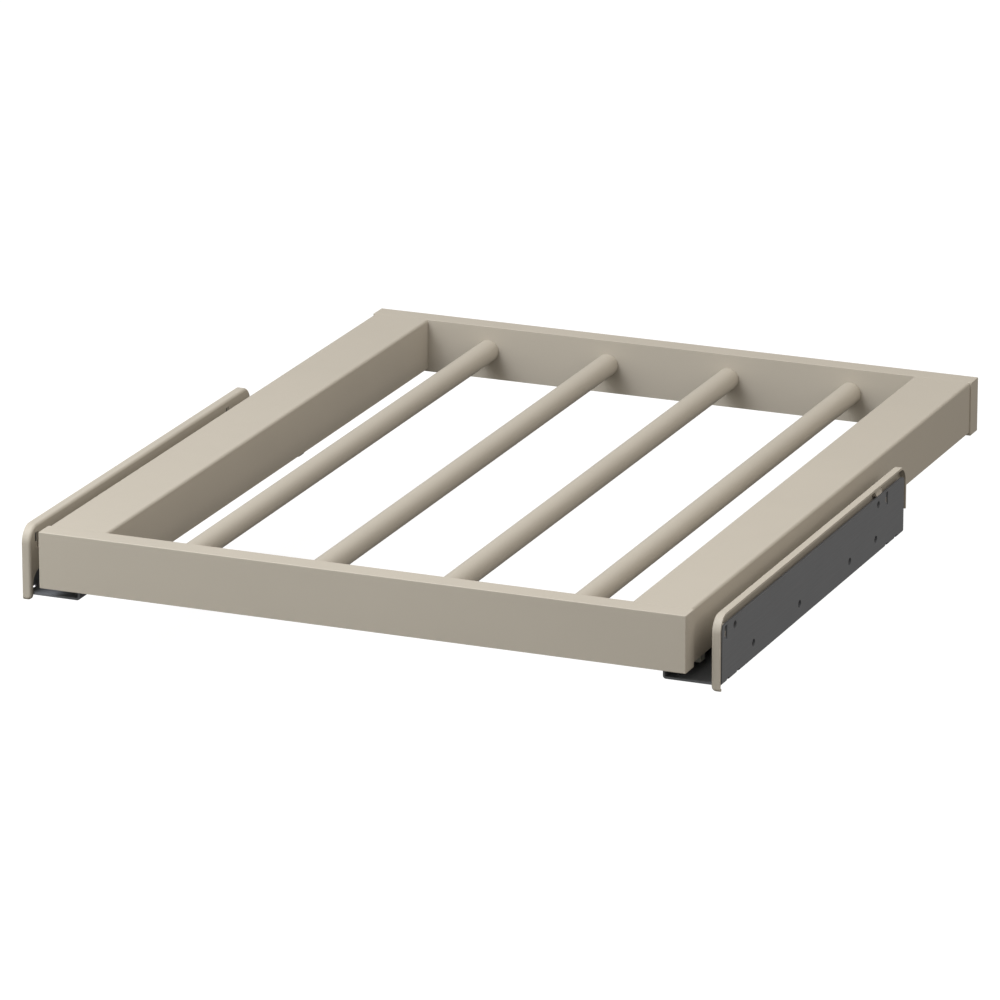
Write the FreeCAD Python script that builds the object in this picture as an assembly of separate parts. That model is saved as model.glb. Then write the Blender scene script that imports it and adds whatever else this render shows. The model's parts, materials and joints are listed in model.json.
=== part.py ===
"""Pull-out trouser rack for a wardrobe: a steel frame with rods on two concealed ball runners.

Frame of the part, in millimetres: X to the right, Y from the front to the back, Z up.
The origin is the centre of the overall footprint, at the height of the covers' feet.
"""
import FreeCAD, Part
import math
import os

from FreeCAD import Vector

# ---------------------------------------------------------------- driving dimensions
# Overall
overall_width = 461.0
rack_depth = 533.0
top_height = 49.7
rack_side_gap = 17.5

# Front and rear rail: a pressed sheet channel with closed ends, open underneath
end_rail_depth = 14.0
end_rail_lift = 13.4
end_edge_round = 0.6
rail_end_step = 1.0
sheet = 1.5

# Side rails: a wider sheet channel open underneath
side_rail_width = 39.0
side_rail_lift = 15.5
side_rail_bend = 1.8

# Rods
rod_count = 4
rod_diameter = 15.0
rod_wall = 1.2
rod_side_space = 44.0
rod_centre_drop = 16.8
plug_length = 14.0

# M5 button head screws of the frame and the rods
screw_diameter = 5.0
screw_length = 8.0
screw_head_diameter = 9.5
screw_head_height = 2.75
screw_head_round = 1.65
socket_width = 3.0
socket_depth = 1.6
frame_screw_spread = 20.0
end_plate_thickness = 4.0

# Runner bracket: plate, shelf and lip bent from one sheet
bracket_thickness = 1.5
bracket_bend = 2.0
bracket_front = 15.0
bracket_length = 323.5
bracket_bottom = 3.1
plate_drop = 9.3
plate_corner = 3.0
shelf_width = 37.8
lip_height = 19.9
mount_hole_diameter = 5.0
upper_hole_drop = 5.1
lower_hole_height = 13.7
upper_hole_front = 36.5
upper_hole_span = 254.0
lower_hole_front = 68.5
lower_hole_pitch = 80.0
lower_hole_gap = 90.0
lower_hole_end_gap = 48.0
bend_notch_width = 5.0
bend_notch_height = 2.0
bend_notch_pitch = 17.0
bend_notch_front = 26.4
bend_notch_rear = 324.4

# Cover: a thin moulded shell that hides the bracket
cover_width = 6.0
cover_wall = 1.5
cover_front = 12.0
cover_length = 331.5
cover_drop = 2.6
cover_skirt = 17.7
cover_corner = 10.5
cover_edge_round = 2.0
cover_inset = 0.2
foot_depth = 2.9
foot_sweep = 9.5
foot_corner = 2.5
hook_front = 21.3
hook_span = 285.0
hook_width = 3.6
hook_height = 3.4
hook_drop = 8.5
hook_barb = 1.0
hook_slot_height = 7.5
hook_window = 10.1
front_lug_place = 16.5
front_lug_length = 4.0
rear_lug_place = 291.0
rear_lug_length = 10.0
lug_reach = 3.2
lug_edge = 0.4

# Ball runner
track_wall = 1.8
track_top_wall = 1.5
track_rise = 3.0
member_wall = 1.2
member_bend = 2.0
member_rise = 1.0
member_head_gap = 1.6
ball_diameter = 3.0
race_depth = 0.45
ball_play = 0.1
cage_wall = 0.9
cage_lift = 0.3
cage_length = 156.0
cage_centre = 175.0
ball_pitch = 20.0
balls_per_row = 7
track_inset = 3.0
middle_inset = 5.0
sliding_inset = 1.0
buffer_length = 5.0
race_step = 9.5
lower_race_height = 11.6
upper_race_height = 15.2
upper_race_step = 8.6
rivet_diameter = 3.0
rivet_count = 4

# Support channel inside each side rail
channel_sheet = 1.2
channel_bend = 2.0

# Rear hook of the sliding member
rear_hook_width = 10.0
rear_hook_reach = 8.0
rear_hook_setback = 14.0

# Locking clip under the front end of each side rail
clip_front = 16.0
clip_length = 40.0
clip_width = 6.8
clip_height = 11.9
clip_edge = 1.0
clip_screw_diameter = 3.0
clip_screw_length = 15.0
clip_head_diameter = 5.4
clip_head_height = 2.2
clip_slot_width = 0.8
clip_slot_depth = 1.0
lever_width = 4.6
lever_front = 16.7
lever_handle = 16.7
lever_arm = 12.0
lever_drop = 4.7
lever_arm_drop = 2.3
lever_edge = 1.2
grip_front = 32.9
grip_length = 7.2
grip_drop = 3.8
grip_reach = 2.0
grip_edge = 0.8
grip_gap = 0.8
clip_pin_diameter = 2.4
clip_pin_head_diameter = 3.8
clip_pin_head_height = 0.7
tooth_place = 4.0
tooth_length = 4.0
tooth_lift = 0.6
tooth_height = 2.6
tooth_reach = 1.3

# Soft-close damper on each shelf
damper_width = 12.0
damper_height = 7.2
damper_length = 96.0
damper_rear_setback = 6.0
damper_offset = 9.0
damper_edge = 1.5
cylinder_diameter = 5.6
cylinder_length = 84.0
cylinder_end = 4.0
piston_rod_diameter = 2.4
piston_rod_length = 66.0
piston_diameter = 4.0
piston_length = 5.0
plunger_diameter = 6.4
plunger_length = 4.0
striker_thickness = 3.0

# Clearances, and how far a cutter runs past the face that it opens
running_gap = 0.3
fit_gap = 0.05
seat_gap = 0.1
overcut = 2.0

# ---------------------------------------------------------------- derived places
front = -rack_depth / 2
rear = rack_depth / 2
half_width = overall_width / 2
half_rack = half_width - rack_side_gap
back_wall = front + end_rail_depth
rear_wall = rear - end_rail_depth
side_outer = half_rack - rail_end_step
side_inner = side_outer - side_rail_width
side_middle = (side_outer + side_inner) / 2
rod_height = top_height - rod_centre_drop
rod_reach = side_inner - rod_side_space
rod_pitch = 2 * rod_reach / (rod_count - 1)

bracket_y0 = front + bracket_front
bracket_y1 = bracket_y0 + bracket_length
shelf_top = bracket_bottom + bracket_thickness
plate_top = top_height - plate_drop
upper_hole_height = plate_top - upper_hole_drop
hook_base = plate_top - hook_drop
cover_top = top_height - cover_drop
lip_inner = half_width - shelf_width
runner_x = lip_inner + bracket_thickness / 2
lip_top = bracket_bottom + lip_height

ball_radius = ball_diameter / 2
race_radius = ball_radius + ball_play
race_gap = 2 * (race_radius - race_depth)
track_half = bracket_thickness / 2 + track_wall
middle_in = track_half + race_gap
middle_half = middle_in + member_wall
sliding_in = middle_half + race_gap
sliding_half = sliding_in + member_wall
track_bottom = shelf_top + track_rise
track_top = lip_top + track_top_wall
member_bottom = track_bottom + member_rise
middle_top = track_top + member_head_gap + member_wall
sliding_top = middle_top + member_head_gap + member_wall
channel_bottom = sliding_top
channel_top = top_height - sheet - (side_rail_bend - sheet) - seat_gap

track_y0 = bracket_y0 + track_inset
track_y1 = bracket_y1 - buffer_length - track_inset
middle_y0 = bracket_y0 + middle_inset
middle_y1 = bracket_y1 - buffer_length - middle_inset
sliding_y0 = bracket_y0 + sliding_inset
sliding_y1 = bracket_y1 - buffer_length - running_gap
cage_y0 = front + cage_centre - cage_length / 2
cage_y1 = cage_y0 + cage_length

cover_inner = half_width - cover_width
cover_outer = half_width - cover_inset
cover_y0 = front + cover_front
cover_y1 = cover_y0 + cover_length
plate_inner = half_width - bracket_thickness

clip_x0 = runner_x + sliding_half + running_gap
clip_y0 = front + clip_front
clip_z0 = channel_bottom - clip_height
lever_x = clip_x0 + lever_width / 2
lever_y0 = front + lever_front
pivot_y = lever_y0 + lever_handle + lever_arm
lever_top = clip_z0 - running_gap
lever_bottom = lever_top - lever_drop
arm_bottom = lever_top - lever_arm_drop
grip_y0 = front + grip_front
grip_bottom = lever_bottom - grip_drop
grip_top = side_rail_lift - grip_gap
tooth_y0 = lever_y0 + tooth_place
tooth_z0 = lever_bottom + tooth_lift

damper_x = runner_x + sliding_half + damper_offset
damper_y1 = bracket_y1 - damper_rear_setback
damper_y0 = damper_y1 - damper_length
damper_z = shelf_top + damper_height / 2
plunger_face = damper_y0 - plunger_length - running_gap
cylinder_y0 = damper_y1 - cylinder_length


# ---------------------------------------------------------------- shape helpers
def box(x0, x1, y0, y1, z0, z1):
    """Return a box between two corners."""
    return Part.makeBox(x1 - x0, y1 - y0, z1 - z0, Vector(x0, y0, z0))


def rod(radius, length, start, direction):
    """Return a round bar from a start point along a direction."""
    return Part.makeCylinder(radius, length, start, direction)


def arch_points(low, high, bottom, top, radius):
    """Return the wire parts of an arch outline with two round top corners, in (u, v)."""
    turn = radius * math.sqrt(0.5)
    left_centre = (low + radius, top - radius)
    right_centre = (high - radius, top - radius)
    return [
        ("line", (low, bottom), (low, top - radius)),
        ("arc", (low, top - radius), (left_centre[0] - turn, left_centre[1] + turn), (low + radius, top)),
        ("line", (low + radius, top), (high - radius, top)),
        ("arc", (high - radius, top), (right_centre[0] + turn, right_centre[1] + turn), (high, top - radius)),
        ("line", (high, top - radius), (high, bottom)),
        ("line", (high, bottom), (low, bottom)),
    ]


def extrude_outline(parts, place, run):
    """Extrude a closed outline; place turns its (u, v) points into space."""
    edges = []
    for kind, *points in parts:
        spots = [place(*point) for point in points]
        if kind == "arc":
            edges.append(Part.Arc(*spots).toShape())
        else:
            edges.append(Part.makeLine(*spots))
    return Part.Face(Part.Wire(edges)).extrude(run)


def arch_along_y(x0, x1, y0, y1, z0, z1, radius):
    """Return an arch-shaped bar that runs along Y."""
    parts = arch_points(x0, x1, z0, z1, radius)
    return extrude_outline(parts, lambda u, v: Vector(u, y0, v), Vector(0, y1 - y0, 0))


def arch_along_x(x0, x1, y0, y1, z0, z1, radius):
    """Return an arch-shaped bar that runs along X."""
    parts = arch_points(y0, y1, z0, z1, radius)
    return extrude_outline(parts, lambda u, v: Vector(x0, u, v), Vector(x1 - x0, 0, 0))


def sheet_arch(centre, half, wall, y0, y1, bottom, top, bend):
    """Return a sheet channel along Y that is open underneath."""
    outside = arch_along_y(centre - half, centre + half, y0, y1, bottom, top, bend)
    inner = half - wall
    inside_bend = max(bend - wall, wall / 4)
    inside = arch_along_y(centre - inner, centre + inner, y0 - overcut, y1 + overcut,
                          bottom - overcut, top - wall, inside_bend)
    return outside.cut(inside)


def mirrored(shape):
    """Return the left-hand copy of a right-hand shape."""
    return shape.mirror(Vector(0, 0, 0), Vector(1, 0, 0))


def group(shapes):
    """Return separate solids as one compound."""
    return Part.makeCompound(shapes)


def rod_places():
    """Return the X of each rod's centre."""
    return [index * rod_pitch - rod_reach for index in range(rod_count)]


def frame_screw_places():
    """Return the X of each screw that joins the side rails to an end rail."""
    half_spread = frame_screw_spread / 2
    return [side * (side_middle + offset) for side in (-1, 1) for offset in (-half_spread, half_spread)]


def frame_screw_height():
    """Return the height of the frame screws: the middle of the threaded end plates."""
    return (channel_bottom + channel_sheet + channel_top) / 2


def race_grooves(centre, distance, y0, y1, heights):
    """Return the ball grooves of a member: two mirrored sets at a distance from its centre."""
    return [rod(race_radius, y1 - y0, Vector(centre + side * distance, y0, height), Vector(0, 1, 0))
            for side in (-1, 1) for height in heights]


def hexagon(width, centre, run):
    """Return a hexagonal bar across flats of the given width, from a centre along Y."""
    reach = width / math.sqrt(3)
    turns = [corner * math.tau / 6 for corner in range(7)]
    corners = [centre + Vector(reach * math.cos(turn), 0, reach * math.sin(turn)) for turn in turns]
    return Part.Face(Part.makePolygon(corners)).extrude(run)


def button_screw(x, y, z, direction):
    """Return a button head screw whose head seats at the given point and whose shank runs on."""
    way = Vector(0, direction, 0)
    seat = Vector(x, y, z)
    face = seat - way * screw_head_height
    shank = rod(screw_diameter / 2, screw_length, seat, way)
    head = rod(screw_head_diameter / 2, screw_head_height, seat, way.negative())
    rim = [edge for edge in head.Edges if abs(edge.CenterOfMass.y - face.y) < fit_gap]
    head = head.makeFillet(screw_head_round, rim).cut(hexagon(socket_width, face, way * socket_depth))
    return head.fuse(shank).removeSplitter()


# ---------------------------------------------------------------- rack frame
def end_rail(y0, inner_side):
    """Return a pressed rail with closed ends; inner_side is +1 if its rods leave towards +Y."""
    y1 = y0 + end_rail_depth
    wall = y1 if inner_side > 0 else y0
    outside = box(-half_rack, half_rack, y0, y1, end_rail_lift, top_height)
    upper_edges = [edge for edge in outside.Edges if edge.CenterOfMass.z > end_rail_lift + fit_gap]
    outside = outside.makeFillet(end_edge_round, upper_edges)
    inside = box(sheet - half_rack, half_rack - sheet, y0 + sheet, y1 - sheet,
                 end_rail_lift - overcut, top_height - sheet)
    rail = outside.cut(inside)
    drills = [screw_hole(x, wall, rod_height) for x in rod_places()]
    drills += [screw_hole(x, wall, frame_screw_height()) for x in frame_screw_places()]
    return rail.cut(group(drills))


def screw_hole(x, y, z):
    """Return the drill for a screw's clearance hole through a rail wall."""
    reach = sheet + overcut
    return rod(screw_diameter / 2 + running_gap, 2 * reach, Vector(x, y - reach, z), Vector(0, 1, 0))


def make_front_rail():
    """Return the front rail, which is also the grip."""
    return end_rail(front, 1)


def make_rear_rail():
    """Return the rear rail, notched so that it clears both runners when the rack is out."""
    rail = end_rail(rear_wall, -1)
    reach = sliding_half + 2 * running_gap
    for side in (-1, 1):
        centre = side * runner_x
        rail = rail.cut(box(centre - reach, centre + reach, rear_wall - overcut, rear + overcut,
                            end_rail_lift - overcut, sliding_top + 2 * running_gap))
    return rail


def make_side_rail():
    """Return the right-hand side rail, between the end rails."""
    return sheet_arch(side_middle, side_rail_width / 2, sheet, back_wall, rear_wall,
                      side_rail_lift, top_height, side_rail_bend)


def rear_hook_stem():
    """Return the Y of the front face of the sliding member's rear hook stem."""
    return sliding_y1 - rear_hook_setback


def make_support_channel():
    """Return the right-hand channel that rests on the sliding member and carries the side rail."""
    half = side_rail_width / 2 - sheet - seat_gap
    y0 = back_wall + seat_gap
    y1 = rear_wall - seat_gap
    upright = arch_along_y(side_middle - half, side_middle + half, y0, y1,
                           -channel_top, -channel_bottom, channel_bend)
    inner = half - channel_sheet
    hollow = arch_along_y(side_middle - inner, side_middle + inner, y0 - overcut, y1 + overcut,
                          -channel_top - overcut, -channel_bottom - channel_sheet,
                          channel_bend - channel_sheet)
    channel = upright.cut(hollow).mirror(Vector(0, 0, 0), Vector(0, 0, 1))
    slot_half = rear_hook_width / 2 + running_gap
    slot_y0 = rear_hook_stem() - running_gap
    slot = box(runner_x - slot_half, runner_x + slot_half, slot_y0,
               slot_y0 + rear_hook_reach + 2 * running_gap,
               channel_bottom - overcut, channel_bottom + channel_sheet + overcut)
    holes = [rod(clip_screw_diameter / 2 + fit_gap, channel_sheet + 2 * overcut,
                 Vector(clip_screw_x(), y, channel_bottom - overcut), Vector(0, 0, 1))
             for y in clip_screw_places()]
    return channel.cut(slot).cut(group(holes))


def make_threaded_plate(y0):
    """Return a right-hand threaded plate that sits on the support channel against an end rail."""
    half = side_rail_width / 2 - sheet - channel_sheet - 2 * seat_gap
    plate = box(side_middle - half, side_middle + half, y0, y0 + end_plate_thickness,
                channel_bottom + channel_sheet, channel_top)
    half_spread = frame_screw_spread / 2
    holes = [rod(screw_diameter / 2 + fit_gap, end_plate_thickness + 2 * overcut,
                 Vector(side_middle + offset, y0 - overcut, frame_screw_height()), Vector(0, 1, 0))
             for offset in (-half_spread, half_spread)]
    bevel_edges = [edge for edge in plate.Edges
                   if abs(edge.CenterOfMass.z - channel_bottom - channel_sheet) < fit_gap
                   and abs(abs(edge.CenterOfMass.x - side_middle) - half) < fit_gap]
    return plate.makeChamfer(channel_bend - channel_sheet, bevel_edges).cut(group(holes))


def make_rod(x):
    """Return one trouser rod, a tube between the two end rails."""
    start = Vector(x, back_wall, rod_height)
    length = rear_wall - back_wall
    outside = rod(rod_diameter / 2, length, start, Vector(0, 1, 0))
    return outside.cut(rod(rod_diameter / 2 - rod_wall, length, start, Vector(0, 1, 0)))


def make_rod_plugs(y0):
    """Return the four threaded plugs pressed into the rods at one end."""
    plugs = []
    for x in rod_places():
        start = Vector(x, y0, rod_height)
        body = rod(rod_diameter / 2 - rod_wall - fit_gap, plug_length, start, Vector(0, 1, 0))
        thread = rod(screw_diameter / 2 + fit_gap, plug_length, start, Vector(0, 1, 0))
        plugs.append(body.cut(thread))
    return group(plugs)


def make_rod_screws(seat, direction):
    """Return the screws that hold the rods at one end rail."""
    return group([button_screw(x, seat, rod_height, direction) for x in rod_places()])


def make_frame_screws(seat, direction):
    """Return the screws that hold both side rails at one end rail."""
    return group([button_screw(x, seat, frame_screw_height(), direction) for x in frame_screw_places()])


# ---------------------------------------------------------------- runner bracket and cover
def mount_hole_places():
    """Return the (y, z) of the six screw holes of the bracket's plate."""
    upper = [(front + upper_hole_front + step * upper_hole_span, upper_hole_height) for step in (0, 1)]
    lower = []
    reach = lower_hole_front
    for gap in (0, lower_hole_pitch, lower_hole_gap, lower_hole_end_gap):
        reach += gap
        lower.append((front + reach, lower_hole_height))
    return upper + lower


def hook_places():
    """Return the Y of the two hooks that hold the cover on the plate."""
    return [front + hook_front, front + hook_front + hook_span]


def notch_places():
    """Return the Y of the four notches at the plate's lower bend."""
    first = front + bend_notch_front
    last = front + bend_notch_rear
    return [first, first + bend_notch_pitch, last - bend_notch_pitch, last]


def make_bracket():
    """Return the right-hand bracket: plate, shelf and lip, with its holes, slots and notches."""
    outline = arch_along_y(lip_inner, half_width, bracket_y0, bracket_y1,
                           -plate_top, -bracket_bottom, bracket_bend)
    y0 = bracket_y0 - overcut
    y1 = bracket_y1 + overcut
    hollow = arch_along_y(lip_inner + bracket_thickness, plate_inner, y0, y1,
                          -plate_top - overcut, -shelf_top, bracket_bend - bracket_thickness)
    bracket = outline.cut(hollow).mirror(Vector(0, 0, 0), Vector(0, 0, 1))
    bracket = bracket.cut(box(lip_inner - overcut, plate_inner - overcut, y0, y1,
                              lip_top, plate_top + overcut))
    corners = [edge for edge in bracket.Edges
               if abs(edge.CenterOfMass.z - plate_top) < fit_gap
               and abs(edge.CenterOfMass.x - (half_width + plate_inner) / 2) < fit_gap]
    bracket = bracket.makeFillet(plate_corner, corners)
    holes = [rod(mount_hole_diameter / 2, bracket_thickness + 2 * overcut,
                 Vector(plate_inner - overcut, y, z), Vector(1, 0, 0))
             for y, z in mount_hole_places()]
    notches = [box(half_width - bracket_bend, half_width + overcut, y - bend_notch_width / 2,
                   y + bend_notch_width / 2, bracket_bottom - overcut,
                   bracket_bottom + bend_notch_height)
               for y in notch_places()]
    slots = []
    for y in hook_places():
        half = hook_width / 2 + running_gap
        slots.append(box(plate_inner - overcut, half_width + overcut, y - half, y + half,
                         hook_base, hook_base + hook_slot_height))
        slots.append(box(plate_inner + bracket_thickness / 2, half_width + overcut, y - half, y + half,
                         hook_base - hook_barb - running_gap, hook_base + hook_slot_height))
    rivets = [track_rivet(y, 0) for y in rivet_places()]
    return bracket.cut(group(holes + notches + slots + rivets))


def cover_outline():
    """Return the cover's outer outline in (y, z): rounded top corners and a foot at the front."""
    turn = math.sqrt(0.5)
    corner = cover_corner
    knee = foot_sweep
    knee_y = cover_y0 + foot_depth + knee
    knee_z = cover_skirt - knee
    return [
        ("line", (cover_y0, foot_corner), (cover_y0, cover_top - corner)),
        ("arc", (cover_y0, cover_top - corner),
         (cover_y0 + corner * (1 - turn), cover_top - corner * (1 - turn)),
         (cover_y0 + corner, cover_top)),
        ("line", (cover_y0 + corner, cover_top), (cover_y1 - corner, cover_top)),
        ("arc", (cover_y1 - corner, cover_top),
         (cover_y1 - corner * (1 - turn), cover_top - corner * (1 - turn)),
         (cover_y1, cover_top - corner)),
        ("line", (cover_y1, cover_top - corner), (cover_y1, cover_skirt)),
        ("line", (cover_y1, cover_skirt), (knee_y, cover_skirt)),
        ("arc", (knee_y, cover_skirt), (knee_y - knee * turn, knee_z + knee * turn),
         (knee_y - knee, knee_z)),
        ("line", (knee_y - knee, knee_z), (knee_y - knee, 0)),
        ("line", (knee_y - knee, 0), (cover_y0 + foot_corner, 0)),
        ("arc", (cover_y0 + foot_corner, 0),
         (cover_y0 + foot_corner * (1 - turn), foot_corner * (1 - turn)),
         (cover_y0, foot_corner)),
    ]


def make_cover():
    """Return the right-hand cover: inner wall, rim, foot, two hooks and two lugs."""
    body = extrude_outline(cover_outline(), lambda u, v: Vector(cover_inner, u, v),
                           Vector(cover_outer - cover_inner, 0, 0))
    soft = [edge for edge in body.Edges
            if abs(edge.BoundBox.XMax - cover_inner) < fit_gap
            and (edge.CenterOfMass.z > cover_top - cover_corner
                 or abs(edge.CenterOfMass.y - cover_y0) < fit_gap
                 or abs(edge.CenterOfMass.y - cover_y1) < fit_gap)]
    body = body.makeFillet(cover_edge_round, soft)
    hollow = arch_along_x(cover_inner + cover_wall, half_width + overcut, cover_y0 + cover_wall,
                          cover_y1 - cover_wall, cover_wall, cover_top - cover_wall,
                          cover_corner - cover_wall)
    cover = body.cut(hollow)
    half = hook_width / 2
    for y in hook_places():
        window = box(cover_inner - overcut, cover_inner + cover_wall + overcut, y - half - 2 * running_gap,
                     y + half + 2 * running_gap, hook_base, hook_base + hook_window)
        hook = box(cover_inner + cover_wall / 2, cover_outer, y - half, y + half,
                   hook_base, hook_base + hook_height)
        root = box(cover_inner + cover_wall / 2, cover_inner + 2 * cover_wall, y - half, y + half,
                   hook_base - cover_wall, hook_base + hook_height)
        barb = box(plate_inner + bracket_thickness / 2 + seat_gap, cover_outer,
                   y - half, y + half, hook_base - hook_barb, hook_base + hook_height)
        cover = cover.cut(window).fuse(hook).fuse(root).fuse(barb)
    for place, length in ((front_lug_place, front_lug_length), (rear_lug_place, rear_lug_length)):
        cover = cover.fuse(cover_lug(front + place, length).common(body))
    return cover.removeSplitter()


def cover_lug(y0, length):
    """Return a wedge under the cover's top that keeps it level on the plate's upper edge."""
    x0 = cover_inner + cover_wall / 2
    x1 = cover_inner + cover_wall
    z0 = plate_top + seat_gap
    z1 = cover_top - cover_wall / 2
    profile = [Vector(x0, y0, z0), Vector(x1 + lug_reach, y0, z0), Vector(x1 + lug_edge, y0, z1),
               Vector(x0, y0, z1), Vector(x0, y0, z0)]
    return Part.Face(Part.makePolygon(profile)).extrude(Vector(0, length, 0))


# ---------------------------------------------------------------- ball runner
def lower_races():
    """Return the heights of the ball rows between the track and the middle member."""
    return [lower_race_height, lower_race_height + race_step]


def upper_races():
    """Return the heights of the ball rows between the middle and the sliding member."""
    return [upper_race_height, upper_race_height + upper_race_step]


def rivet_places():
    """Return the Y of each rivet that holds the track on the lip."""
    step = (track_y1 - track_y0) / rivet_count
    return [track_y0 + (index + 0.5) * step for index in range(rivet_count)]


def track_rivet(y, gap):
    """Return a flush rivet through the track and the lip."""
    return rod(rivet_diameter / 2 - gap, 2 * track_half,
               Vector(runner_x - track_half, y, rivet_height()), Vector(1, 0, 0))


def rivet_height():
    """Return the height of the rivets: halfway between the two lower ball rows."""
    return lower_race_height + race_step / 2


def make_fixed_track():
    """Return the right-hand fixed track, which straddles the bracket's lip."""
    body = arch_along_y(runner_x - track_half, runner_x + track_half, track_y0, track_y1,
                        track_bottom, track_top, track_wall / 2)
    lip = box(runner_x - bracket_thickness / 2, runner_x + bracket_thickness / 2,
              track_y0 - overcut, track_y1 + overcut, track_bottom - overcut, lip_top)
    distance = track_half + race_gap / 2
    grooves = race_grooves(runner_x, distance, track_y0, track_y1, lower_races())
    rivets = [track_rivet(y, 0) for y in rivet_places()]
    return body.cut(lip).cut(group(grooves + rivets))


def make_track_rivets():
    """Return the right-hand track's rivets."""
    return group([track_rivet(y, fit_gap) for y in rivet_places()])


def make_middle_member():
    """Return the right-hand middle member, with ball grooves inside and outside."""
    body = sheet_arch(runner_x, middle_half, member_wall, middle_y0, middle_y1,
                      member_bottom, middle_top, member_bend)
    inner = race_grooves(runner_x, track_half + race_gap / 2, middle_y0, middle_y1, lower_races())
    outer = race_grooves(runner_x, middle_half + race_gap / 2, middle_y0, middle_y1, upper_races())
    return body.cut(group(inner + outer))


def make_sliding_member():
    """Return the right-hand sliding member, with its clip notch, damper striker and rear hook."""
    body = sheet_arch(runner_x, sliding_half, member_wall, sliding_y0, sliding_y1,
                      member_bottom, sliding_top, member_bend)
    grooves = race_grooves(runner_x, middle_half + race_gap / 2, sliding_y0, sliding_y1, upper_races())
    notch = box(runner_x + sliding_in - member_wall, runner_x + sliding_half + overcut,
                tooth_y0 - running_gap, tooth_y0 + tooth_length + running_gap, member_bottom - overcut,
                tooth_z0 + tooth_height + running_gap)
    striker_y1 = plunger_face - running_gap
    striker = box(runner_x + sliding_in, damper_x + plunger_diameter / 2,
                  striker_y1 - striker_thickness, striker_y1, member_bottom - member_rise,
                  shelf_top + damper_height)
    half = rear_hook_width / 2
    stem_y0 = rear_hook_stem()
    arm_z0 = channel_bottom + channel_sheet + seat_gap
    stem = box(runner_x - half, runner_x + half, stem_y0, stem_y0 + member_wall,
               sliding_top - member_wall / 2, arm_z0 + member_wall)
    arm = box(runner_x - half, runner_x + half, stem_y0 + member_wall - rear_hook_reach,
              stem_y0 + member_wall, arm_z0, arm_z0 + member_wall)
    return body.cut(group(grooves + [notch])).fuse([striker, stem, arm]).removeSplitter()


def cage_shell(inner_half, inner_top):
    """Return a cage strip that straddles a member with the given half width and top."""
    gap = (race_gap - cage_wall) / 2
    half = inner_half + gap + cage_wall
    top = inner_top + (member_head_gap + cage_wall) / 2
    return sheet_arch(runner_x, half, cage_wall, cage_y0, cage_y1, member_bottom + cage_lift, top,
                      member_bend)


def ball_centres(inner_half, heights):
    """Return the centres of the balls of one cage."""
    first = cage_y0 + (cage_length - (balls_per_row - 1) * ball_pitch) / 2
    return [Vector(runner_x + side * (inner_half + race_gap / 2), first + index * ball_pitch, height)
            for side in (-1, 1) for height in heights for index in range(balls_per_row)]


def make_cage(inner_half, inner_top, heights):
    """Return a right-hand ball cage with one round pocket per ball."""
    pockets = [rod(race_radius, 2 * cage_wall, centre - Vector(cage_wall, 0, 0), Vector(1, 0, 0))
               for centre in ball_centres(inner_half, heights)]
    return cage_shell(inner_half, inner_top).cut(group(pockets))


def make_balls(inner_half, heights):
    """Return the balls of one right-hand cage."""
    return group([Part.makeSphere(ball_radius, centre) for centre in ball_centres(inner_half, heights)])


def make_end_buffer():
    """Return the right-hand buffer at the back of the lip, which stops the members when shut."""
    block = arch_along_y(runner_x - sliding_half, runner_x + sliding_half, bracket_y1 - buffer_length,
                         bracket_y1, shelf_top, sliding_top - member_wall, member_bend)
    y0 = bracket_y1 - buffer_length - overcut
    y1 = bracket_y1 + overcut
    lip = box(lip_inner, lip_inner + bracket_thickness, y0, y1, shelf_top - overcut, lip_top)
    bend = box(lip_inner, lip_inner + bracket_bend, y0, y1,
               shelf_top - overcut, bracket_bottom + bracket_bend)
    return block.cut(lip).cut(bend)


# ---------------------------------------------------------------- locking clip
def clip_screw_x():
    """Return the X of the right-hand clip's screws."""
    return clip_x0 + clip_width / 2


def clip_screw_places():
    """Return the Y of the clip's two screws."""
    return [clip_y0 + clip_head_diameter, clip_y0 + clip_length - clip_head_diameter]


def make_clip_body():
    """Return the right-hand clip body, screwed up against the support channel."""
    body = box(clip_x0, clip_x0 + clip_width, clip_y0, clip_y0 + clip_length, clip_z0, channel_bottom)
    upright = [edge for edge in body.Edges if edge.BoundBox.ZLength > clip_height / 2]
    body = body.makeFillet(clip_edge, upright)
    drills = [rod(clip_pin_diameter / 2 + fit_gap, clip_height / 2,
                  Vector(lever_x, pivot_y, clip_z0), Vector(0, 0, 1))]
    for y in clip_screw_places():
        start = Vector(clip_screw_x(), y, clip_z0)
        drills.append(rod(clip_screw_diameter / 2 + fit_gap, clip_height, start, Vector(0, 0, 1)))
        drills.append(rod(clip_head_diameter / 2 + fit_gap, clip_head_height, start, Vector(0, 0, 1)))
    return body.cut(group(drills))


def make_clip_screws():
    """Return the two screws of the right-hand clip."""
    screws = []
    for y in clip_screw_places():
        start = Vector(clip_screw_x(), y, clip_z0)
        head = rod(clip_head_diameter / 2, clip_head_height, start, Vector(0, 0, 1))
        shank = rod(clip_screw_diameter / 2, clip_screw_length, start, Vector(0, 0, 1))
        slot = box(start.x - clip_head_diameter, start.x + clip_head_diameter,
                   y - clip_slot_width / 2, y + clip_slot_width / 2, clip_z0, clip_z0 + clip_slot_depth)
        screws.append(head.fuse(shank).cut(slot).removeSplitter())
    return group(screws)


def make_clip_pin():
    """Return the right-hand lever's pivot pin, with its head let into the lever."""
    start = Vector(lever_x, pivot_y, arm_bottom + seat_gap)
    shank = rod(clip_pin_diameter / 2, clip_z0 + clip_height / 2 - start.z, start, Vector(0, 0, 1))
    head = rod(clip_pin_head_diameter / 2, clip_pin_head_height, start, Vector(0, 0, 1))
    return shank.fuse(head).removeSplitter()


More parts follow.
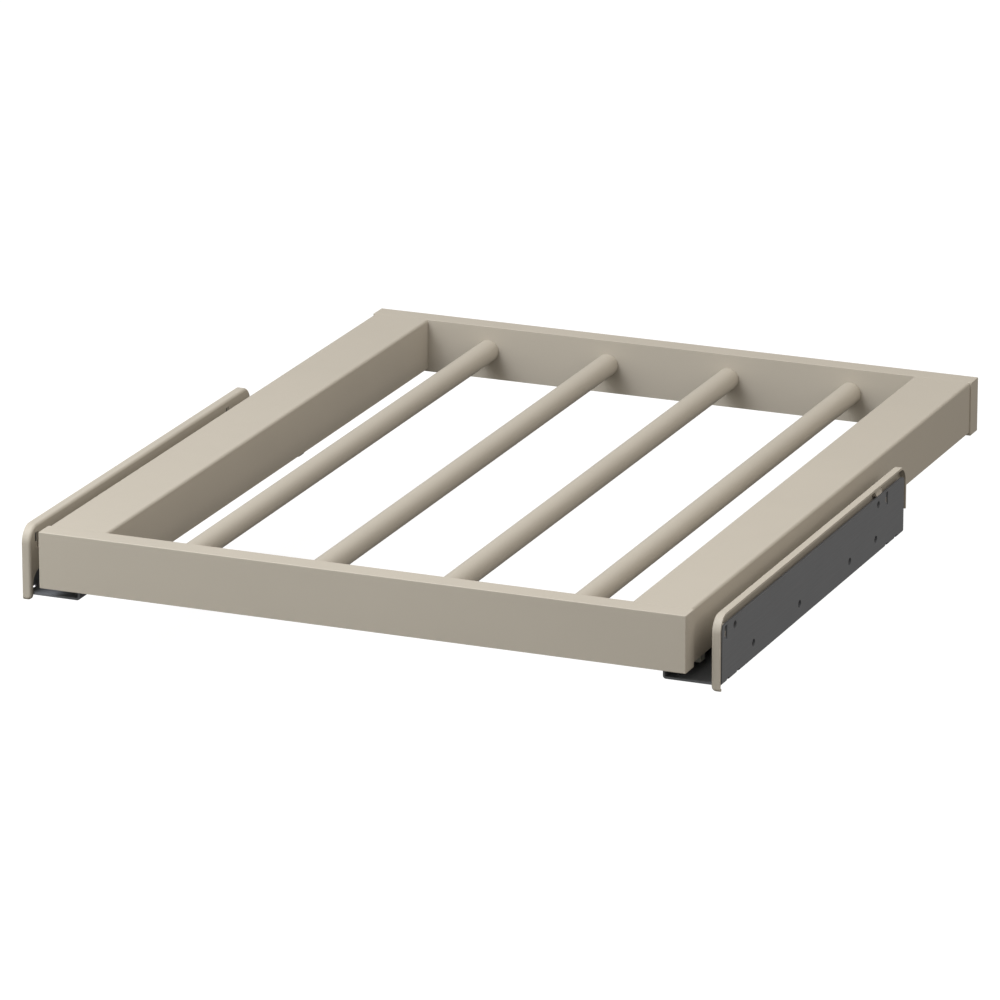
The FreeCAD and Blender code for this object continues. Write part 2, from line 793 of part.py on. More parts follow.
def make_clip_lever():
    """Return the right-hand release lever: a handle with a grip, an arm back to its pin, and a tooth."""
    x0 = lever_x - lever_width / 2
    x1 = lever_x + lever_width / 2
    handle = box(x0, x1, lever_y0, lever_y0 + lever_handle, lever_bottom, lever_top)
    low_edges = [edge for edge in handle.Edges
                 if edge.BoundBox.XLength > lever_width / 2
                 and edge.CenterOfMass.z < lever_bottom + fit_gap]
    handle = handle.makeChamfer(lever_edge, low_edges)
    arm = box(x0, x1, lever_y0 + lever_handle / 2, pivot_y, arm_bottom, lever_top)
    eye = rod(lever_width / 2, lever_arm_drop, Vector(lever_x, pivot_y, arm_bottom), Vector(0, 0, 1))
    grip = box(x0, x1 + grip_reach, grip_y0, grip_y0 + grip_length, grip_bottom, grip_top)
    grip_edges = [edge for edge in grip.Edges if edge.CenterOfMass.z < grip_bottom + fit_gap]
    grip = grip.makeFillet(grip_edge, grip_edges)
    neck = box(x0, x1, grip_y0, grip_y0 + grip_length, grip_top, lever_top)
    tooth = box(x0 - tooth_reach, lever_x, tooth_y0, tooth_y0 + tooth_length,
                tooth_z0, tooth_z0 + tooth_height)
    bore = rod(clip_pin_diameter / 2 + fit_gap, lever_arm_drop, Vector(lever_x, pivot_y, arm_bottom),
               Vector(0, 0, 1))
    sink = rod(clip_pin_head_diameter / 2 + fit_gap, clip_pin_head_height + 2 * seat_gap,
               Vector(lever_x, pivot_y, arm_bottom), Vector(0, 0, 1))
    return handle.fuse([arm, eye, grip, neck, tooth]).cut(bore).cut(sink).removeSplitter()


# ---------------------------------------------------------------- soft-close damper
def make_damper_housing():
    """Return the right-hand damper housing on the shelf, bored for the cylinder and the rod."""
    half = damper_width / 2
    body = box(damper_x - half, damper_x + half, damper_y0, damper_y1, shelf_top, shelf_top + damper_height)
    long_edges = [edge for edge in body.Edges
                  if edge.BoundBox.YLength > damper_length / 2 and edge.CenterOfMass.z > damper_z]
    body = body.makeFillet(damper_edge, long_edges)
    bore = rod(cylinder_diameter / 2 + fit_gap, cylinder_length, Vector(damper_x, cylinder_y0, damper_z),
               Vector(0, 1, 0))
    mouth = rod(piston_rod_diameter / 2 + running_gap, damper_length, Vector(damper_x, damper_y0, damper_z),
                Vector(0, 1, 0))
    return body.cut(bore).cut(mouth)


def make_damper_cylinder():
    """Return the right-hand damper cylinder, with a gland in front and a closed back."""
    start = Vector(damper_x, cylinder_y0, damper_z)
    body = rod(cylinder_diameter / 2, cylinder_length, start, Vector(0, 1, 0))
    bore = rod(piston_diameter / 2 + fit_gap, cylinder_length - 2 * cylinder_end,
               start + Vector(0, cylinder_end, 0), Vector(0, 1, 0))
    gland = rod(piston_rod_diameter / 2 + fit_gap, 2 * cylinder_end, start, Vector(0, 1, 0))
    return body.cut(bore).cut(gland)


def make_damper_rod():
    """Return the right-hand piston rod with plunger and piston, pushed in as when the rack is shut."""
    start = Vector(damper_x, plunger_face, damper_z)
    plunger = rod(plunger_diameter / 2, plunger_length, start, Vector(0, 1, 0))
    stem = rod(piston_rod_diameter / 2, piston_rod_length, start, Vector(0, 1, 0))
    piston = rod(piston_diameter / 2, piston_length,
                 start + Vector(0, piston_rod_length - piston_length, 0), Vector(0, 1, 0))
    return plunger.fuse([stem, piston]).removeSplitter()


# ---------------------------------------------------------------- assembly
def build_pairs():
    """Return the pieces that exist once on each side, as right-hand shapes by base name."""
    return {
        "side_rail": make_side_rail(),
        "support_channel": make_support_channel(),
        "threaded_plate_front": make_threaded_plate(back_wall + seat_gap),
        "threaded_plate_rear": make_threaded_plate(rear_wall - seat_gap - end_plate_thickness),
        "runner_bracket": make_bracket(),
        "runner_cover": make_cover(),
        "fixed_track": make_fixed_track(),
        "track_rivets": make_track_rivets(),
        "middle_member": make_middle_member(),
        "sliding_member": make_sliding_member(),
        "end_buffer": make_end_buffer(),
        "lower_cage": make_cage(track_half, track_top, lower_races()),
        "lower_balls": make_balls(track_half, lower_races()),
        "upper_cage": make_cage(middle_half, middle_top, upper_races()),
        "upper_balls": make_balls(middle_half, upper_races()),
        "clip_body": make_clip_body(),
        "clip_screws": make_clip_screws(),
        "clip_pin": make_clip_pin(),
        "clip_lever": make_clip_lever(),
        "damper_housing": make_damper_housing(),
        "damper_cylinder": make_damper_cylinder(),
        "damper_rod": make_damper_rod(),
    }


def build_parts():
    """Return every node of the part by name."""
    parts = {"front_rail": make_front_rail(), "rear_rail": make_rear_rail()}
    for number, x in enumerate(rod_places(), start=1):
        parts[f"rod_{number}"] = make_rod(x)
    parts["rod_plugs_front"] = make_rod_plugs(back_wall)
    parts["rod_plugs_rear"] = make_rod_plugs(rear_wall - plug_length)
    parts["rod_screws_front"] = make_rod_screws(back_wall - sheet, 1)
    parts["rod_screws_rear"] = make_rod_screws(rear_wall + sheet, -1)
    parts["frame_screws_front"] = make_frame_screws(back_wall - sheet, 1)
    parts["frame_screws_rear"] = make_frame_screws(rear_wall + sheet, -1)
    for name, shape in build_pairs().items():
        parts[f"{name}_right"] = shape
        parts[f"{name}_left"] = mirrored(shape)
    return parts


os.makedirs("parts", exist_ok=True)
for node, shape in build_parts().items():
    shape.exportStep(os.path.join("parts", f"{node}.step"))
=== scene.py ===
"""Dresses the pull-out trouser rack: a painted frame with rods on two concealed ball runners.

Lengths are in metres. X runs to the right, Y from the front to the back, and Z up.
"""
import json
import logging
import math
from dataclasses import dataclass
from enum import Enum
from typing import Callable, Iterable, Sequence

import bmesh
import bpy
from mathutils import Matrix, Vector

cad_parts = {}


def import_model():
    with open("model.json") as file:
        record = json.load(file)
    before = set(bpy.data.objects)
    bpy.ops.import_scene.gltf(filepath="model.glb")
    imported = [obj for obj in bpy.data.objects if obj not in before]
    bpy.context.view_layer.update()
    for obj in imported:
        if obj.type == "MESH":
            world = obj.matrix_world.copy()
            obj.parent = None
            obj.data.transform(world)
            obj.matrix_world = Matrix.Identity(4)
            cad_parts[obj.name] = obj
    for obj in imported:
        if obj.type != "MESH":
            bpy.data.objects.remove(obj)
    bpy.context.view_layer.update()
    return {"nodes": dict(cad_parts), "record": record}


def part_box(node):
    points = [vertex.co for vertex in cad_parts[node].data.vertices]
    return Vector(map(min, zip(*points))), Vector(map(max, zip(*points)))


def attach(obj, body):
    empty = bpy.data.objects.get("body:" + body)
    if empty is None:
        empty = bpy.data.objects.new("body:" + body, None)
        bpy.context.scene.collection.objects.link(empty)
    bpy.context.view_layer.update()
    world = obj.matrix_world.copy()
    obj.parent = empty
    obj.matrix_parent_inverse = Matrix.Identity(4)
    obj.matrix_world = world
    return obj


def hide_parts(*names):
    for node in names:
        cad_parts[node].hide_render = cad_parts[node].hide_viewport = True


MM = 0.001
PLACE_TOLERANCE = 0.02 * MM
WELD_DISTANCE = 0.005 * MM
ARRIS_SEGMENTS = 2
ALONG = 0.999
MOSTLY = 0.9
LOG = logging.getLogger("trouser_rack")

Colour = Point = Stretch = tuple[float, float, float]
Place = Sequence[float]
Socket = bpy.types.NodeSocket
Edge = bmesh.types.BMEdge
Face = bmesh.types.BMFace


class Axis(Enum):
    """The three directions of the part's own frame."""

    X = 0
    Y = 1
    Z = 2

    def unit(self) -> Vector:
        """Returns the axis as a vector of length one."""
        return Vector(1.0 if index == self.value else 0.0 for index in range(3))


class Side(Enum):
    """The two sides of the rack, by the sign of their X."""

    LEFT = -1
    RIGHT = 1

    def named(self, base: str) -> str:
        """Returns the full name of a node or body on this side."""
        return f"{base}_{self.name.lower()}"


class Operation(Enum):
    """The two ways in which one piece changes another."""

    CUT = "DIFFERENCE"
    JOIN = "UNION"


# ---------------- modelling
def clear_selection() -> None:
    """Deselects every object, so that an operator acts on the new piece alone."""
    for other in bpy.context.selected_objects:
        other.select_set(False)


def lies_along(edge: Edge, axis: Axis) -> bool:
    """Says whether an edge runs along an axis.

    Args:
        edge: The edge to test.
        axis: The direction it is compared with.

    Returns:
        True where the edge differs from the axis by less than a few degrees.
    """
    run = edge.verts[1].co - edge.verts[0].co
    return run.length > 0 and abs(run.normalized()[axis.value]) > ALONG


def looks(face: Face, axis: Axis, *signs: int) -> bool:
    """Says whether a face looks along an axis, for sign 1, or against it, for sign -1."""
    return any(sign * face.normal[axis.value] > MOSTLY for sign in signs)


def middle(edge: Edge) -> Vector:
    """Returns the middle of an edge."""
    return (edge.verts[0].co + edge.verts[1].co) / 2


def near(value: float, target: float) -> bool:
    """Says whether two coordinates are the same place."""
    return abs(value - target) < PLACE_TOLERANCE


def edge_at(edge: Edge, axis: Axis, target: float) -> bool:
    """Says whether both ends of an edge lie at one coordinate."""
    return all(near(vertex.co[axis.value], target) for vertex in edge.verts)


def along(axis: Axis, **places: float) -> Callable[[Edge], bool]:
    """Returns the test for edges along an axis with their middle at some places, such as z=0.1."""
    return lambda edge: lies_along(edge, axis) and all(near(getattr(middle(edge), name), place)
                                                       for name, place in places.items())


def modify(shape: bpy.types.Object, kind: str, **settings: object) -> str:
    """Adds a modifier to an object.

    Args:
        shape: The object.
        kind: The modifier's type.
        settings: Its settings, by their names.

    Returns:
        The modifier's name.
    """
    modifier = shape.modifiers.new(kind.lower(), kind)
    for name, value in settings.items():
        setattr(modifier, name, value)
    return modifier.name


class Workpiece:
    """One mesh piece on the bench: a primitive that is shaped in edit mode and then finished."""

    def __init__(self, name: str) -> None:
        """Takes up the primitive that was just added.

        Args:
            name: The piece's name.
        """
        self.shape = bpy.context.object
        self.shape.name = name
        self.shape.data.name = name
        bpy.ops.object.transform_apply(location=True, rotation=True, scale=True)
        bpy.ops.object.mode_set(mode="EDIT")

    @classmethod
    def block(cls, name: str, low: Place, high: Place) -> "Workpiece":
        """Adds a block between two corners.

        Args:
            name: The piece's name.
            low: The lowest corner.
            high: The highest corner.

        Returns:
            The block, in edit mode.
        """
        clear_selection()
        centre = [(a + b) / 2 for a, b in zip(low, high)]
        spans = [b - a for a, b in zip(low, high)]
        bpy.ops.mesh.primitive_cube_add(size=1.0, location=centre, scale=spans)
        return cls(name)

    @classmethod
    def bar(cls, name: str, centre: Place, radius: float, length: float, axis: Axis,
            facets: int, capped: bool = True) -> "Workpiece":
        """Adds a round bar.

        Args:
            name: The piece's name.
            centre: The middle of the bar.
            radius: The bar's radius.
            length: The bar's length.
            axis: The direction it runs in.
            facets: How many faces its round has.
            capped: Whether its ends are closed.

        Returns:
            The bar, in edit mode.
        """
        clear_selection()
        turns = {Axis.X: (0, math.pi / 2, 0), Axis.Y: (math.pi / 2, 0, 0), Axis.Z: (0, 0, 0)}
        bpy.ops.mesh.primitive_cylinder_add(vertices=facets, radius=radius, depth=length,
                                            location=centre, rotation=turns[axis],
                                            end_fill_type="NGON" if capped else "NOTHING")
        return cls(name)

    def pick(self, kind: str, test: Callable[[Face | Edge], bool]) -> "Workpiece":
        """Selects the faces or the edges that pass a test, and nothing else.

        Args:
            kind: FACE or EDGE.
            test: Says of each face or edge whether it is selected.

        Returns:
            This piece, in edit mode.
        """
        bpy.ops.mesh.select_mode(type=kind)
        bpy.ops.mesh.select_all(action="DESELECT")
        mesh = bmesh.from_edit_mesh(self.shape.data)
        for element in mesh.faces if kind == "FACE" else mesh.edges:
            if test(element):
                element.select_set(True)
        bmesh.update_edit_mesh(self.shape.data)
        return self

    def pick_faces(self, test: Callable[[Face], bool]) -> "Workpiece":
        """Selects the faces that pass a test."""
        return self.pick("FACE", test)

    def pick_edges(self, test: Callable[[Edge], bool]) -> "Workpiece":
        """Selects the edges that pass a test."""
        return self.pick("EDGE", test)

    def round_off(self, radius: float, segments: int) -> "Workpiece":
        """Rounds the selected edges."""
        bpy.ops.mesh.bevel(offset=radius, segments=segments, affect="EDGES", profile=0.5)
        return self

    def draw_out(self, run: Place) -> "Workpiece":
        """Extrudes the selected faces along a run."""
        bpy.ops.mesh.extrude_region_move(TRANSFORM_OT_translate={"value": run})
        return self

    def shift(self, run: Place) -> "Workpiece":
        """Moves what is selected along a run."""
        bpy.ops.transform.translate(value=run)
        return self

    def remove_faces(self) -> "Workpiece":
        """Deletes the selected faces."""
        bpy.ops.mesh.delete(type="FACE")
        return self

    def split(self, axis: Axis, place: float) -> "Workpiece":
        """Cuts only the selected faces at a place along an axis."""
        bpy.ops.mesh.bisect(plane_co=place * axis.unit(), plane_no=axis.unit())
        return self

    def merge_flats(self) -> "Workpiece":
        """Dissolves the selected edges, so that the faces on both sides become one."""
        bpy.ops.mesh.dissolve_edges(use_verts=True)
        return self

    def score(self, axis: Axis, places: Iterable[float]) -> "Workpiece":
        """Cuts new edges right round the piece.

        Args:
            axis: The axis that the cuts cross.
            places: Where they lie along it.

        Returns:
            This piece, in edit mode.
        """
        for place in places:
            bpy.ops.mesh.select_all(action="SELECT")
            self.split(axis, place)
        return self

    def thicken(self, wall: float) -> "Workpiece":
        """Gives an open surface a wall towards its inside.

        Args:
            wall: The wall's thickness.

        Returns:
            This piece, in edit mode.
        """
        self.recalculate()
        bpy.ops.object.mode_set(mode="OBJECT")
        self.change("SOLIDIFY", thickness=wall, offset=-1.0, use_even_offset=True)
        bpy.ops.object.mode_set(mode="EDIT")
        return self

    def recalculate(self) -> "Workpiece":
        """Merges doubles and turns every face outwards.

        Returns:
            This piece, in edit mode.
        """
        bpy.ops.mesh.select_all(action="SELECT")
        bpy.ops.mesh.remove_doubles(threshold=WELD_DISTANCE)
        bpy.ops.mesh.normals_make_consistent(inside=False)
        return self

    def change(self, kind: str, **settings: object) -> None:
        """Adds a modifier to the active piece, and applies it."""
        bpy.ops.object.modifier_apply(modifier=modify(self.shape, kind, **settings))

    def take_up(self) -> None:
        """Makes this piece the one that operators act on."""
        clear_selection()
        self.shape.select_set(True)
        bpy.context.view_layer.objects.active = self.shape

    def set_down(self) -> "Workpiece":
        """Leaves edit mode, so that another piece can be started.

        Returns:
            This piece, in object mode.
        """
        bpy.ops.object.mode_set(mode="OBJECT")
        clear_selection()
        return self

    def combine(self, tools: Iterable["Workpiece"], operation: Operation) -> "Workpiece":
        """Cuts other pieces out of this one, or joins them to it.

        Args:
            tools: The pieces, which are used up.
            operation: Whether they are cut out or joined.

        Returns:
            This piece, in edit mode.
        """
        for tool in tools:
            self.take_up()
            self.change("BOOLEAN", operation=operation.value, solver="EXACT", object=tool.shape)
            bpy.data.objects.remove(tool.shape)
        bpy.ops.object.mode_set(mode="EDIT")
        return self

    def mirrored(self, name: str) -> "Workpiece":
        """Copies the piece for the other side, with a mesh of its own.

        Args:
            name: The copy's name.

        Returns:
            The copy, in edit mode.
        """
        self.set_down()
        self.take_up()
        bpy.ops.object.duplicate()
        bpy.context.object.scale.x = -1.0
        twin = Workpiece(name)
        return twin.recalculate()

    def soften(self, radius: float, sharpest: float = 30.0) -> bpy.types.Object:
        """Takes the last sharpness off the arrises and shades the piece.

        Args:
            radius: The width of the softened arris.
            sharpest: Edges that turn by more degrees than this are softened.

        Returns:
            The finished object.
        """
        self.set_down()
        self.take_up()
        bpy.ops.object.shade_smooth()
        self.change("BEVEL", width=radius, segments=ARRIS_SEGMENTS, angle_limit=math.radians(sharpest))
        self.change("WEIGHTED_NORMAL")
        clear_selection()
        return self.shape


def cutter(low: Place, high: Place) -> Workpiece:
    """Adds a block that is to be cut out of a piece, in object mode."""
    return Workpiece.block("cutter", low, high).set_down()


# ---------------- finishes
def shade(colour: Colour, factor: float) -> Colour:
    """Returns a colour made lighter or darker by a factor."""
    return tuple(min(1.0, channel * factor) for channel in colour)


@dataclass(frozen=True)
class WearAndHighlight:
    """How a finish lightens along the arrises, partly worn and partly a painted highlight: how far in, how
    strongly, and by what factor.
    """

    width: float
    strength: float
    lift: float


class NodeBench:
    """Builds the nodes of one material around a Principled shader."""

    EVEN = (1.0, 1.0, 1.0)
    PATTERN_RANGE = (0.3, 0.7)
    ARRIS_RANGE = (0.75, 0.995)
    ARRIS_SAMPLES = 4

    def __init__(self, name: str) -> None:
        """Starts an empty material.

        Args:
            name: The material's name.
        """
        self.material = bpy.data.materials.new(name)
        self.material.use_nodes = True
        tree = self.material.node_tree
        self.nodes = tree.nodes
        self.links = tree.links
        self.shader = self.nodes["Principled BSDF"]
        self.place = self.nodes.new("ShaderNodeTexCoord").outputs["Object"]

    def set(self, **values: float) -> None:
        """Sets constants on the shader's own sockets.

        Args:
            values: The numbers, by the sockets' names with _ for a space.
        """
        for name, value in values.items():
            self.shader.inputs[name.replace("_", " ")].default_value = value

    def drive(self, name: str, output: Socket) -> None:
        """Feeds one of the shader's sockets from a node."""
        self.links.new(output, self.shader.inputs[name])

    def noise(self, size: float, detail: float = 2.0, stretch: Stretch = EVEN) -> Socket:
        """Adds a noise pattern.

        Args:
            size: The size of its features, in metres.
            detail: How many finer layers it has.
            stretch: How much longer the features are along each axis.

        Returns:
            Its output, from 0 to 1.
        """
        mapping = self.nodes.new("ShaderNodeMapping")
        mapping.inputs["Scale"].default_value = [1.0 / factor for factor in stretch]
        self.links.new(self.place, mapping.inputs["Vector"])
        pattern = self.nodes.new("ShaderNodeTexNoise")
        pattern.inputs["Scale"].default_value = 1.0 / size
        pattern.inputs["Detail"].default_value = detail
        self.links.new(mapping.outputs["Vector"], pattern.inputs["Vector"])
        return pattern.outputs["Fac"]

    def spread(self, value: Socket, low: float, high: float,
               source: tuple[float, float] = PATTERN_RANGE) -> Socket:
        """Maps a pattern's middle range onto a range of values.

        Args:
            value: The pattern.
            low: The result where the pattern is at the start of its range.
            high: The result where the pattern is at the end of its range.
            source: The pattern's range.

        Returns:
            The mapped value.
        """
        mapper = self.nodes.new("ShaderNodeMapRange")
        start, end = source
        for name, number in (("From Min", start), ("From Max", end), ("To Min", low), ("To Max", high)):
            mapper.inputs[name].default_value = number
        self.links.new(value, mapper.inputs["Value"])
        return mapper.outputs["Result"]

    def mix(self, factor: Socket, first: Colour | Socket, second: Colour | Socket) -> Socket:
        """Blends two colours.

        Args:
            factor: 0 for the first, 1 for the second.
            first: A colour, or a node's output.
            second: A colour, or a node's output.

        Returns:
            The blended colour.
        """
        mixer = self.nodes.new("ShaderNodeMix")
        mixer.data_type = "RGBA"
        self.links.new(factor, mixer.inputs["Factor"])
        for socket, colour in ((mixer.inputs["A"], first), (mixer.inputs["B"], second)):
            if isinstance(colour, tuple):
                socket.default_value = (*colour, 1.0)
            else:
                self.links.new(colour, socket)
        return mixer.outputs["Result"]

    def clouded(self, colour: Colour, size: float, shades: tuple[float, float],
                detail: float = 3.0, stretch: Stretch = EVEN) -> Socket:
        """Varies a colour softly from place to place.

        Args:
            colour: The colour.
            size: The size of its clouds, in metres.
            shades: The factors of the darkest and of the lightest shade.
            detail: How many finer layers the clouds have.
            stretch: How much longer the clouds are along each axis.

        Returns:
            The varied colour.
        """
        cloud = self.spread(self.noise(size, detail, stretch), 0.0, 1.0)
        darkest, lightest = shades
        return self.mix(cloud, shade(colour, darkest), shade(colour, lightest))

    def arris(self, radius: float) -> Socket:
        """Finds the edges of a piece.

        Args:
            radius: How far from an edge it still counts.

        Returns:
            0 on flat stretches, rising to 1 on outer and inner edges.
        """
        edge = self.nodes.new("ShaderNodeBevel")
        edge.samples = self.ARRIS_SAMPLES
        edge.inputs["Radius"].default_value = radius
        flat = self.nodes.new("ShaderNodeNewGeometry").outputs["Normal"]
        product = self.nodes.new("ShaderNodeVectorMath")
        product.operation = "DOT_PRODUCT"
        self.links.new(edge.outputs["Normal"], product.inputs[0])
        self.links.new(flat, product.inputs[1])
        return self.spread(product.outputs["Value"], 1.0, 0.0, self.ARRIS_RANGE)

    def paint(self, tone: Socket, colour: Colour, wear_and_highlight: WearAndHighlight) -> None:
        """Feeds the base colour with a tone that is lighter along the arrises, partly worn and partly a
        painted highlight.

        Args:
            tone: The tone of the flat stretches.
            colour: The finish's plain colour.
            wear_and_highlight: How the arrises lighten, partly worn and partly a painted highlight.
        """
        edges = self.spread(self.arris(wear_and_highlight.width), 0.0, wear_and_highlight.strength, (0.0, 1.0))
        self.drive("Base Color", self.mix(edges, tone, shade(colour, wear_and_highlight.lift)))

    def gloss(self, pattern: Socket, roughness: float, uneven: tuple[float, float]) -> None:
        """Feeds the roughness, which a pattern takes as far below and above its value as uneven says."""
        self.drive("Roughness", self.spread(pattern, roughness - uneven[0], roughness + uneven[1]))

    def relief(self, height: Socket, depth: float, below: Socket | None = None) -> Socket:
        """Raises a pattern as bump.

        Args:
            height: The pattern, from 0 to 1.
            depth: How far 1 stands above 0, in metres.
            below: The normal of a coarser relief under this one.

        Returns:
            The bumped normal.
        """
        bump = self.nodes.new("ShaderNodeBump")
        bump.inputs["Strength"].default_value = 1.0
        bump.inputs["Distance"].default_value = depth
        self.links.new(height, bump.inputs["Height"])
        if below is not None:
            self.links.new(below, bump.inputs["Normal"])
        return bump.outputs["Normal"]


@dataclass(frozen=True)
class Finish:
    """What every finish has: its slot's name, its colour, and how rough and how unevenly so it is."""

    name: str
    colour: Colour
    roughness: float = 0.5
    uneven: tuple[float, float] = (0.04, 0.05)


@dataclass(frozen=True)
class PowderCoat(Finish):
    """Baked powder paint: a faint orange peel, fine speckle, and arrises lighter from thinner paint and a
    painted highlight.
    """

    roughness: float = 0.46
    smear_size: float = 40 * MM
    specular: float = 0.3
    cloud_size: float = 90 * MM
    cloud_shades: tuple[float, float] = (0.975, 1.02)
    speckle_size: float = 0.25 * MM
    speckle_depth: float = 0.0015 * MM
    speckle_strength: float = 0.5
    speckle_shade: float = 0.94
    peel_size: float = 1.6 * MM
    peel_depth: float = 0.006 * MM
    wear_and_highlight: WearAndHighlight = WearAndHighlight(0.35 * MM, 0.6, 1.05)

    def material(self) -> bpy.types.Material:
        """Makes the paint.

        Returns:
            Its material.
        """
        bench = NodeBench(self.name)
        speckle = bench.noise(self.speckle_size, detail=1.0)
        tone = bench.mix(bench.spread(speckle, 0.0, self.speckle_strength),
                         bench.clouded(self.colour, self.cloud_size, self.cloud_shades),
                         shade(self.colour, self.speckle_shade))
        # Lighter arrises: thinner paint and a painted highlight.
        bench.paint(tone, self.colour, self.wear_and_highlight)
        bench.gloss(bench.noise(self.smear_size, detail=4.0), self.roughness, self.uneven)
        peel = bench.relief(bench.noise(self.peel_size, detail=1.0), self.peel_depth)
        bench.drive("Normal", bench.relief(speckle, self.speckle_depth, peel))
        bench.set(Specular_IOR_Level=self.specular)
        return bench.material


@dataclass(frozen=True)
class Moulding(Finish):
    """Moulded plastic with an etched matte skin and a little flow shading."""

    uneven: tuple[float, float] = (0.05, 0.07)
    specular: float = 0.3
    flow_size: float = 30 * MM
    flow_shades: tuple[float, float] = (0.96, 1.03)
    flow: Stretch = (1.0, 4.0, 1.0)
    grain_size: float = 0.35 * MM
    grain_depth: float = 0.008 * MM
    wear_and_highlight: WearAndHighlight = WearAndHighlight(0.3 * MM, 0.5, 1.15)

    def material(self) -> bpy.types.Material:
        """Makes the plastic.

        Returns:
            Its material.
        """
        bench = NodeBench(self.name)
        tone = bench.clouded(self.colour, self.flow_size, self.flow_shades, stretch=self.flow)
        # Lighter arrises: worn skin and a painted highlight.
        bench.paint(tone, self.colour, self.wear_and_highlight)
        grain = bench.noise(self.grain_size)
        bench.gloss(grain, self.roughness, self.uneven)
        bench.drive("Normal", bench.relief(grain, self.grain_depth))
        bench.set(Specular_IOR_Level=self.specular)
        return bench.material


@dataclass(frozen=True)
class CoatedSteel(Finish):
    """Dark coated strip steel: rolling streaks under a satin coat, and arrises lighter from sheared steel and
    a painted highlight.
    """

    metallic: float = 0.1
    specular: float = 0.3
    cloud_size: float = 25 * MM
    cloud_shades: tuple[float, float] = (0.98, 1.02)
    streak_size: float = 0.6 * MM
    streak: Stretch = (1.0, 60.0, 1.0)
    streak_strength: float = 0.3
    streak_shade: float = 0.95
    grain_size: float = 0.3 * MM
    grain_depth: float = 0.004 * MM
    wear_and_highlight: WearAndHighlight = WearAndHighlight(0.35 * MM, 0.8, 1.5)

    def material(self) -> bpy.types.Material:
        """Makes the coated steel.

        Returns:
            Its material.
        """
        bench = NodeBench(self.name)
        streaks = bench.noise(self.streak_size, stretch=self.streak)
        tone = bench.mix(bench.spread(streaks, 0.0, self.streak_strength),
                         bench.clouded(self.colour, self.cloud_size, self.cloud_shades),
                         shade(self.colour, self.streak_shade))
        # Lighter arrises: sheared steel and a painted highlight.
        bench.paint(tone, self.colour, self.wear_and_highlight)
        bench.gloss(streaks, self.roughness, self.uneven)
        bench.drive("Normal", bench.relief(bench.noise(self.grain_size), self.grain_depth))
        bench.set(Metallic=self.metallic, Specular_IOR_Level=self.specular)
        return bench.material


@dataclass(frozen=True)
class BareMetal(Finish):
    """Bare or plated metal with a drawn, turned or ground grain."""

    roughness: float = 0.28
    uneven: tuple[float, float] = (0.07, 0.08)
    tarnish: float = 0.88
    tarnish_size: float = 12 * MM
    grain: Stretch = (1.0, 60.0, 1.0)
    grain_size: float = 0.2 * MM
    grain_depth: float = 0.003 * MM
    wear_and_highlight: WearAndHighlight = WearAndHighlight(0.2 * MM, 0.6, 1.2)

    def material(self) -> bpy.types.Material:
        """Makes the metal.

        Returns:
            Its material.
        """
        bench = NodeBench(self.name)
        tone = bench.clouded(self.colour, self.tarnish_size, (self.tarnish, 1.0), detail=4.0)
        # Lighter arrises: rubbed metal and a painted highlight.
        bench.paint(tone, self.colour, self.wear_and_highlight)
        lines = bench.noise(self.grain_size, stretch=self.grain)
        bench.gloss(lines, self.roughness, self.uneven)
        bench.drive("Normal", bench.relief(lines, self.grain_depth))
        bench.set(Metallic=1.0)
        return bench.material


@dataclass(frozen=True)
class Rubber(Finish):
    """Soft black rubber with a dusty bloom."""

    roughness: float = 0.71
    uneven: tuple[float, float] = (0.09, 0.09)
    bloom: float = 1.6
    bloom_size: float = 6 * MM
    grain_size: float = 0.3 * MM
    grain_depth: float = 0.012 * MM

    def material(self) -> bpy.types.Material:
        """Makes the rubber.

        Returns:
            Its material.
        """
        bench = NodeBench(self.name)
        bench.drive("Base Color", bench.clouded(self.colour, self.bloom_size, (1.0, self.bloom), detail=4.0))
        grain = bench.noise(self.grain_size)
        bench.gloss(grain, self.roughness, self.uneven)
        bench.drive("Normal", bench.relief(grain, self.grain_depth))
        return bench.material


FINISHES = (
    PowderCoat("rack_paint", (0.47, 0.43, 0.37)),
    Moulding("cover_plastic", (0.47, 0.43, 0.37)),
    CoatedSteel("dark_steel", (0.165, 0.173, 0.191)),
    BareMetal("zinc_steel", (0.72, 0.74, 0.77), roughness=0.38),
    Moulding("cage_plastic", (0.70, 0.70, 0.66)),
    BareMetal("ball_steel", (0.80, 0.80, 0.80), roughness=0.12, grain=(1.0, 1.0, 1.0)),
    Moulding("clip_plastic", (0.45, 0.455, 0.405)),
    BareMetal("screw_steel", (0.55, 0.56, 0.58), roughness=0.32, grain=(1.0, 1.0, 1.0)),
    BareMetal("plug_aluminium", (0.66, 0.66, 0.67), roughness=0.36, grain=(20.0, 1.0, 20.0)),
    Moulding("damper_plastic", (0.035, 0.035, 0.037), roughness=0.55),
    BareMetal("damper_aluminium", (0.70, 0.70, 0.71), roughness=0.3),
    BareMetal("damper_steel", (0.72, 0.72, 0.73), roughness=0.18),
    Rubber("buffer_rubber", (0.03, 0.03, 0.03)),
)


